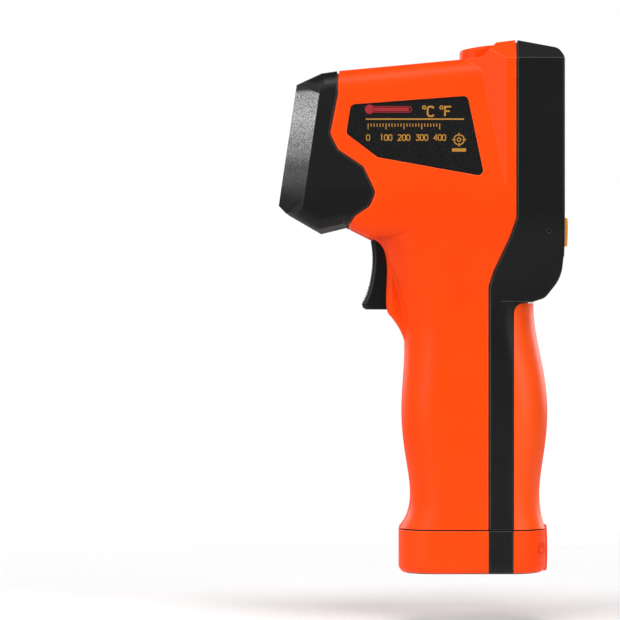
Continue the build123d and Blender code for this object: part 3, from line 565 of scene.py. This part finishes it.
# Stroke letters and figures on a grid 4 wide and 6 high.
GRID_TALL = 6
STROKES = {
    "0": [[(1, 0), (3, 0), (4, 1), (4, 5), (3, 6), (1, 6), (0, 5), (0, 1), (1, 0)]],
    "1": [[(1, 5), (2, 6), (2, 0)]],
    "2": [[(0, 5), (1, 6), (3, 6), (4, 5), (4, 4), (0, 0), (4, 0)]],
    "3": [[(0, 6), (4, 6), (2, 3.6), (3, 3.6), (4, 2.6), (4, 1), (3, 0), (1, 0), (0, 1)]],
    "4": [[(3, 0), (3, 6), (0, 2), (4, 2)]],
    "C": [[(4, 5), (3, 6), (1, 6), (0, 5), (0, 1), (1, 0), (3, 0), (4, 1)]],
    "F": [[(0, 0), (0, 6), (4, 6)], [(0, 3.2), (3, 3.2)]],
    "/": [[(0.6, -0.6), (3.4, 6.6)]],
}
PITCH, GAP = 5.4, 1.4  # from one sign to the next, and the space in it
NARROW = {"o": 3.2, "/": 4.8, " ": 2.4}  # pitch of the narrower signs
DEGREE = "o"  # drawn as a small ring
DEGREE_HEIGHT, DEGREE_WEIGHT = 5.5, 0.65


def write(inlay, text, u, v, height, weight, squeeze=1.0):
    """Figures and unit signs, centred on (u, v); squeeze narrows them."""
    unit = height / GRID_TALL
    wide = unit * squeeze
    total = sum(NARROW.get(c, PITCH) for c in text) - GAP
    x = u - total * wide / 2
    y = v - height / 2
    for c in text:
        if c == DEGREE:
            inlay.arc(x + wide, y + DEGREE_HEIGHT * unit, wide, weight * DEGREE_WEIGHT, steps=12)
        for line in STROKES.get(c, []):
            inlay.ribbon([(x + a * wide, y + b * unit) for a, b in line], weight)
        x += NARROW.get(c, PITCH) * wide


# ---------------------------------------------------------------- display

centre_x = (panel_low.x + panel_high.x) / 2
centre_z = (panel_low.z + panel_high.z) / 2


def on_panel(u, v, h):
    """Millimetres from the middle of the display, and in front of it."""
    return (centre_x + u * MM, panel_low.y - h * MM, centre_z + v * MM)


LEAN = 0.075  # sideways shift of a figure per height
CLEAR = 0.13  # gap at the ends of a segment


def segment(inlay, u, v, width, height, thick, shown):
    """Seven-segment figure, leaning to the right; shown names its segments a to g."""
    w, h, t, g = width / 2, height / 2, thick, CLEAR

    def put(outline):
        inlay.polygon([(u + a + b * LEAN, v + b) for a, b in outline])

    if "a" in shown:
        put([(-w + g, h), (w - g, h), (w - t - g, h - t), (-w + t + g, h - t)])
    if "d" in shown:
        put([(-w + g, -h), (-w + t + g, -h + t), (w - t - g, -h + t), (w - g, -h)])
    if "g" in shown:
        m = t / 2
        put([(-w + m + g, 0), (-w + t + g, m), (w - t - g, m), (w - m - g, 0),
             (w - t - g, -m), (-w + t + g, -m)])
    for name, side, up in (("f", -1, 1), ("b", 1, 1), ("e", -1, -1), ("c", 1, -1)):
        if name in shown:
            outline = [(side * w, up * (h - g)), (side * w, up * (t / 2 + g / 2)),
                       (side * (w - t / 2), up * g), (side * (w - t), up * (t / 2 + g)),
                       (side * (w - t), up * (h - t - g))]
            put(outline)


INK_PROUD, INK_SUNK = 0.05, 0.02
BIG_WIDE, BIG_TALL, BIG_THICK, BIG_V = 5.7, 15.9, 1.65, -4.05

digits = Inlay(on_panel, INK_PROUD, INK_SUNK)
for u, shown in ((-3.4, "abged"), (3.75, "fbgc")):
    segment(digits, u, BIG_V, BIG_WIDE, BIG_TALL, BIG_THICK, shown)
segment(digits, 9.75, -7.05, 3.4, 9.6, 1.0, "afgcd")
digits.bar(6.75, -11.45, 1.05, 1.0)
digits.build("lcd_digits", lcd_ink, "root")

signs = Inlay(on_panel, INK_PROUD, INK_SUNK)

# Hold sign: a dark flag with four clear bars in it.
FLAG_U, FLAG_V, FLAG_WIDE, FLAG_TALL = -6.0, 12.1, 5.6, 2.4
BAR_STEP, BAR_WIDE, END_WIDE, BORDER = 1.1, 0.78, 0.9, 0.5
for i in range(5):
    wide = BAR_WIDE if 0 < i < 4 else END_WIDE
    signs.bar(FLAG_U + (i - 2) * BAR_STEP, FLAG_V, wide, FLAG_TALL)
for v in (-1, 1):
    signs.bar(FLAG_U, FLAG_V + v * (FLAG_TALL - BORDER) / 2, FLAG_WIDE - BORDER, BORDER)

# Laser sign: a star in a triangle.
STAR_U, STAR_V = -9.5, 7.6
signs.ribbon([(STAR_U - 1.9, 6.5), (STAR_U + 1.9, 6.5), (STAR_U, 9.6)], 0.34, closed=True)
signs.rays(STAR_U, STAR_V, 0.0, 0.85, 0.2, range(0, 360, 45))
signs.disc(STAR_U, STAR_V, 0.55)

# Lamp sign: a bulb with its socket, and light above it.
LAMP_U, LAMP_V, SOCKET_HALF = -5.1, 8.2, 0.35
signs.arc(LAMP_U, LAMP_V, 0.98, 0.38, -60, 240)
signs.ribbon(
    [(LAMP_U - SOCKET_HALF, 7.4), (LAMP_U - SOCKET_HALF, 6.3),
     (LAMP_U + SOCKET_HALF, 6.3), (LAMP_U + SOCKET_HALF, 7.4)], 0.34,
)
signs.bar(LAMP_U, 6.9, 0.7, 0.16)
signs.rays(LAMP_U, LAMP_V, 1.3, 1.85, 0.24, (35, 62, 90, 118, 145))

# Degrees Celsius.
signs.arc(7.0, 9.15, 0.45, 0.28, steps=16)
signs.arc(8.5, 7.5, 1.15, 0.55, 52, 308, steps=24)
signs.build("lcd_signs", lcd_ink, "root")

# ---------------------------------------------------------------- key signs

FACE_SLACK = 0.05 * MM  # a key's front face lies within this of its foremost point


def on_key(name):
    """Places a sign on the middle of the key's front face."""
    low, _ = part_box(name)
    face = [v.co for v in nodes[name].data.vertices if v.co.y < low.y + FACE_SLACK]
    x = (min(c.x for c in face) + max(c.x for c in face)) / 2
    z = (min(c.z for c in face) + max(c.z for c in face)) / 2
    return lambda u, v, h: (x + u * MM, low.y - h * MM, z + v * MM)


PRINT_PROUD, PRINT_SUNK = 0.015, 0.05

laser_sign = Inlay(on_key("button_laser"), PRINT_PROUD, PRINT_SUNK)
laser_sign.ribbon([(-1.1, -0.75), (2.0, -0.75), (0.45, 2.0)], 0.34, closed=True)
laser_sign.disc(0.45, 0.2, 0.55)
laser_sign.build("laser_key_sign", white_ink, "laser_key")

BULB_U, BULB_V = -0.3, 0.6
light_sign = Inlay(on_key("button_light"), PRINT_PROUD, PRINT_SUNK)
light_sign.disc(BULB_U, BULB_V, 0.98, 24)
light_sign.bar(BULB_U, -0.75, 0.6, 1.1)
light_sign.bar(BULB_U, -1.6, 0.78, 0.24)
light_sign.rays(BULB_U, BULB_V, 1.32, 1.85, 0.22, range(-30, 211, 30))
light_sign.build("light_key_sign", white_ink, "light_key")

unit_sign = Inlay(on_key("button_unit"), PRINT_PROUD, PRINT_SUNK)
write(unit_sign, "oC/oF", 0, -0.1, 2.7, 0.32, 0.66)
unit_sign.build("unit_key_sign", white_ink, "unit_key")

# ---------------------------------------------------------------- label graphics

def plate_face(name):
    """(a point, the outward normal) of the plate's broad outer face."""
    mesh = nodes[name].data
    broad = max(
        (p for p in mesh.polygons if p.normal.x * p.center.x > 0),
        key=lambda p: p.area,
    )
    return broad.center.copy(), broad.normal.copy()


def on_plate(name, side):
    """Millimetres from the middle of the plate, along it, up and out of it."""
    point, normal = plate_face(name)
    low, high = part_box(name)
    y0, z0 = (low.y + high.y) / 2, (low.z + high.z) / 2

    def place(u, v, h):
        y, z = y0 + side * u * MM, z0 + v * MM
        x = point.x - ((y - point.y) * normal.y + (z - point.z) * normal.z) / normal.x
        return Vector((x, y, z)) + normal * h * MM

    return place


FILM_PROUD, FILM_SUNK = 0.02, 0.05
STEM_V, STEM_HALF = 7.55, 0.8  # thermometer sign: height of its axis, half width of its glass
MARKS, MARK_STEP, MARK_TOP = 25, 0.85, 3.5
FIGURES = ("0", "100", "200", "300", "400")
MARKS_PER_FIGURE = (MARKS - 1) // (len(FIGURES) - 1)
AIM_V = -1.15


def label(name, side):
    """Printed graphics of one plate; u runs with the reading direction."""
    place = on_plate(name, side)
    s = 1 if side < 0 else -1
    red = Inlay(place, FILM_PROUD, FILM_SUNK)
    gold = Inlay(place, FILM_PROUD, FILM_SUNK)
    # Thermometer lying on its side: bulb, column and glass.
    u0 = -7.3 * s
    upper, lower = STEM_V + STEM_HALF, STEM_V - STEM_HALF
    red.disc(u0 - 5.6, STEM_V, 1.35, 24)
    red.ribbon([(u0 - 4.6, STEM_V), (u0 + 5.6, STEM_V)], 1.0)
    red.ribbon([(u0 - 4.4, upper), (u0 + 5.9, upper), (u0 + 6.3, upper - 0.4),
                (u0 + 6.3, lower + 0.4), (u0 + 5.9, lower), (u0 - 4.4, lower)], 0.22)
    write(gold, "oC oF", 6.3 * s, 6.95, 2.7, 0.5)
    gold.bar(0, 4.75, 28.0, 0.4)
    # Scale with figures.
    first = -3.1 * s - 10.2
    for i in range(MARKS):
        tall = 1.7 if i % MARKS_PER_FIGURE == 0 else 0.95
        gold.bar(first + i * MARK_STEP, MARK_TOP - tall / 2, 0.26, tall)
    for i, text in enumerate(FIGURES):
        write(gold, text, first + i * MARKS_PER_FIGURE * MARK_STEP, -0.55, 1.6, 0.27, 0.85)
    # Aiming sign over a bar.
    u1 = 12.6 * s
    gold.arc(u1, AIM_V, 1.45, 0.32)
    gold.arc(u1, AIM_V, 0.5, 0.26, steps=14)
    gold.rays(u1, AIM_V, 0.95, 2.0, 0.3, (0, 180, 90, 270))
    gold.bar(u1, -4.1, 4.0, 0.95)
    tag = name.replace("label_plate_", "")
    red.build(f"label_red_print_{tag}", red_ink, "root")
    gold.build(f"label_gold_print_{tag}", gold_ink, "root")


label("label_plate_left", -1)
label("label_plate_right", 1)

# ---------------------------------------------------------------- padlock signs

RAY_START = 0.02  # metres outside the surface that the ray looks for


def on_surface(name, x0, y0, z0, way):
    """Places points on the node's surface, in millimetres from (x0, z0).

    A ray along Y finds the surface. It starts before y0, and way is its direction, 1 or -1.
    """
    mesh = nodes[name].data
    tree = BVHTree.FromPolygons([v.co for v in mesh.vertices], [p.vertices for p in mesh.polygons])

    def place(u, v, h):
        start = Vector((x0 + u * MM, y0 - way * RAY_START, z0 + v * MM))
        hit, normal, _, _ = tree.ray_cast(start, Vector((0, way, 0)))
        return hit + normal * h * MM

    return place


def on_cap():
    """Places signs on the rear of the cap, from the middle of the lock."""
    low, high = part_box("lock_disc")
    return on_surface("battery_cap_rear", (low.x + high.x) / 2, low.y, (low.z + high.z) / 2, 1)


padlocks = Inlay(on_cap(), 0.14, 0.1)


def fine(line, step=0.35):
    """The line with points at most this far apart."""
    made = [line[0]]
    for (a, b), (c, d) in zip(line, line[1:]):
        n = max(1, math.ceil(math.hypot(c - a, d - b) / step))
        for i in range(1, n + 1):
            made.append((a + (c - a) * i / n, b + (d - b) * i / n))
    return made


PADLOCK_LINE = 0.3
BODY_HALF, BODY_LOW, BODY_HIGH = 1.6, -1.3, 0.5
BOW_HALF, BOW_FLAT, BOW_BEND, BOW_TOP = 1.1, 0.75, 1.2, 1.6
for u, shift in ((-10.4, 0.0), (9.8, 1.5)):
    body = [(u - BODY_HALF, BODY_LOW), (u + BODY_HALF, BODY_LOW),
            (u + BODY_HALF, BODY_HIGH), (u - BODY_HALF, BODY_HIGH)]
    padlocks.ribbon(fine(body + body[:1])[:-1], PADLOCK_LINE, closed=True)
    mid = u + shift
    bow = [(mid - BOW_HALF, BODY_HIGH), (mid - BOW_HALF, BOW_BEND), (mid - BOW_FLAT, BOW_TOP),
           (mid + BOW_FLAT, BOW_TOP), (mid + BOW_HALF, BOW_BEND), (mid + BOW_HALF, BODY_HIGH)]
    padlocks.ribbon(fine(bow), PADLOCK_LINE)
padlocks.build("padlock_signs", sign_orange, "battery_cap")

# ---------------------------------------------------------------- trigger ridges

RIDGES = 7
RIDGE_STEP, RIDGE_LOWEST = 0.8, 1.6
RIDGE_WIDE, RIDGE_TALL = 5.6, 0.34


def on_front(name):
    """Places shapes on the node's front; v is the height over the node's lowest point."""
    low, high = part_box(name)
    return on_surface(name, (low.x + high.x) / 2, high.y, low.z, -1)


ridges = Inlay(on_front("trigger"), 0.16, 0.1)
for i in range(RIDGES):
    ridges.bar(0, RIDGE_LOWEST + i * RIDGE_STEP, RIDGE_WIDE, RIDGE_TALL)
ridges.build("trigger_ridges", black, "trigger_lever")

# ---------------------------------------------------------------- studio

def simple_mesh(name, points, faces, material):
    """A mesh object of one material."""
    mesh = bpy.data.meshes.new(name)
    mesh.from_pydata(points, [], faces)
    mesh.update()
    made = bpy.data.objects.new(name, mesh)
    scene.collection.objects.link(made)
    mesh.materials.append(material)
    return made


low, high = cad_box
middle = (low + high) / 2

FLOOR_GAP = 0.0155  # clear of the battery cap at the end of its slide
FLOOR_RADIUS = 0.45
FLOOR_SIDES = 64
FADE_FROM, FADE_TO = 0.25, 0.95  # shares of the floor's radius


def fading_paper(name):
    """White paper that fades out towards its edge, so that no horizon shows."""
    made, tree, shader = new_material(name)
    fibre = noise(tree, 0.002, detail=3.0)
    tree.links.new(
        blend_colours(tree, fibre, (0.90, 0.90, 0.90), (0.93, 0.93, 0.93)),
        shader.inputs["Base Color"],
    )
    shader.inputs["Roughness"].default_value = 0.9
    shader.inputs["Specular IOR Level"].default_value = 0.1
    distance = tree.nodes.new("ShaderNodeVectorMath")
    distance.operation = "LENGTH"
    tree.links.new(coordinates(tree), distance.inputs[0])
    fade = tree.nodes.new("ShaderNodeMapRange")
    fade.interpolation_type = "SMOOTHSTEP"
    fade.inputs["From Min"].default_value = FADE_FROM * FLOOR_RADIUS
    fade.inputs["From Max"].default_value = FADE_TO * FLOOR_RADIUS
    fade.inputs["To Min"].default_value = 1.0
    fade.inputs["To Max"].default_value = 0.0
    tree.links.new(distance.outputs["Value"], fade.inputs["Value"])
    tree.links.new(fade.outputs["Result"], shader.inputs["Alpha"])
    return made


rim = []
for i in range(FLOOR_SIDES):
    angle = 2 * math.pi * i / FLOOR_SIDES
    rim.append((FLOOR_RADIUS * math.cos(angle), FLOOR_RADIUS * math.sin(angle), 0))
floor = simple_mesh("floor", rim, [tuple(range(FLOOR_SIDES))], fading_paper("paper"))
floor.location = (middle.x, middle.y, low.z - FLOOR_GAP)

FILL_STRENGTH, BACKDROP_STRENGTH = 0.10, 1.0


def background(tree, strength):
    """White light of this strength from all round."""
    made = tree.nodes.new("ShaderNodeBackground")
    made.inputs["Color"].default_value = (1, 1, 1, 1)
    made.inputs["Strength"].default_value = strength
    return made.outputs["Background"]


# The camera sees a white backdrop, which lights the object only faintly.
world = bpy.data.worlds.new("studio")
scene.world = world
world.use_nodes = True
tree = world.node_tree
tree.nodes.clear()
out = tree.nodes.new("ShaderNodeOutputWorld")
mix = tree.nodes.new("ShaderNodeMixShader")
path = tree.nodes.new("ShaderNodeLightPath")
tree.links.new(path.outputs["Is Camera Ray"], mix.inputs["Fac"])
tree.links.new(background(tree, FILL_STRENGTH), mix.inputs[1])
tree.links.new(background(tree, BACKDROP_STRENGTH), mix.inputs[2])
tree.links.new(mix.outputs["Shader"], out.inputs["Surface"])


def softbox(name, place, width, height, energy):
    """A soft lamp that looks at the middle of the object."""
    data = bpy.data.lights.new(name, "AREA")
    data.shape = "RECTANGLE"
    data.size, data.size_y, data.energy = width, height, energy
    lamp = bpy.data.objects.new(name, data)
    scene.collection.objects.link(lamp)
    lamp.location = place
    lamp.rotation_euler = (middle - Vector(place)).to_track_quat("-Z", "Y").to_euler()


SIDE_X, SIDE_Y, SIDE_Z = 0.72, 0.66, 0.36
SIDE_SIZE = (0.45, 0.6)
softbox("near_front", (-SIDE_X, SIDE_Y, SIDE_Z), *SIDE_SIZE, 5.6)
softbox("near_rear", (-SIDE_X, -SIDE_Y, SIDE_Z), *SIDE_SIZE, 4.5)
softbox("far_front", (SIDE_X, SIDE_Y, SIDE_Z), *SIDE_SIZE, 4.2)
softbox("far_rear", (SIDE_X, -SIDE_Y, SIDE_Z), *SIDE_SIZE, 4.8)
softbox("nose", (0.0, 0.85, 0.42), 0.5, 0.5, 1.3)
softbox("top", (-0.45, 0.02, 1.0), 0.45, 0.45, 6.0)

# ---------------------------------------------------------------- camera

CAMERA_DISTANCE = 1.002
CAMERA_DROP = 0.0007
CAMERA_SHIFT = -0.1835
LENS, SENSOR = 200, 36

camera = bpy.data.objects.new("camera", bpy.data.cameras.new("camera"))
scene.collection.objects.link(camera)
scene.camera = camera
camera.data.lens = LENS
camera.data.sensor_width = SENSOR
camera.data.shift_x = CAMERA_SHIFT
camera.location = (middle.x - CAMERA_DISTANCE, middle.y, middle.z - CAMERA_DROP)
camera.rotation_euler = (math.radians(90), 0, math.radians(-90))
camera.data.clip_start = 0.01
camera.data.clip_end = 50
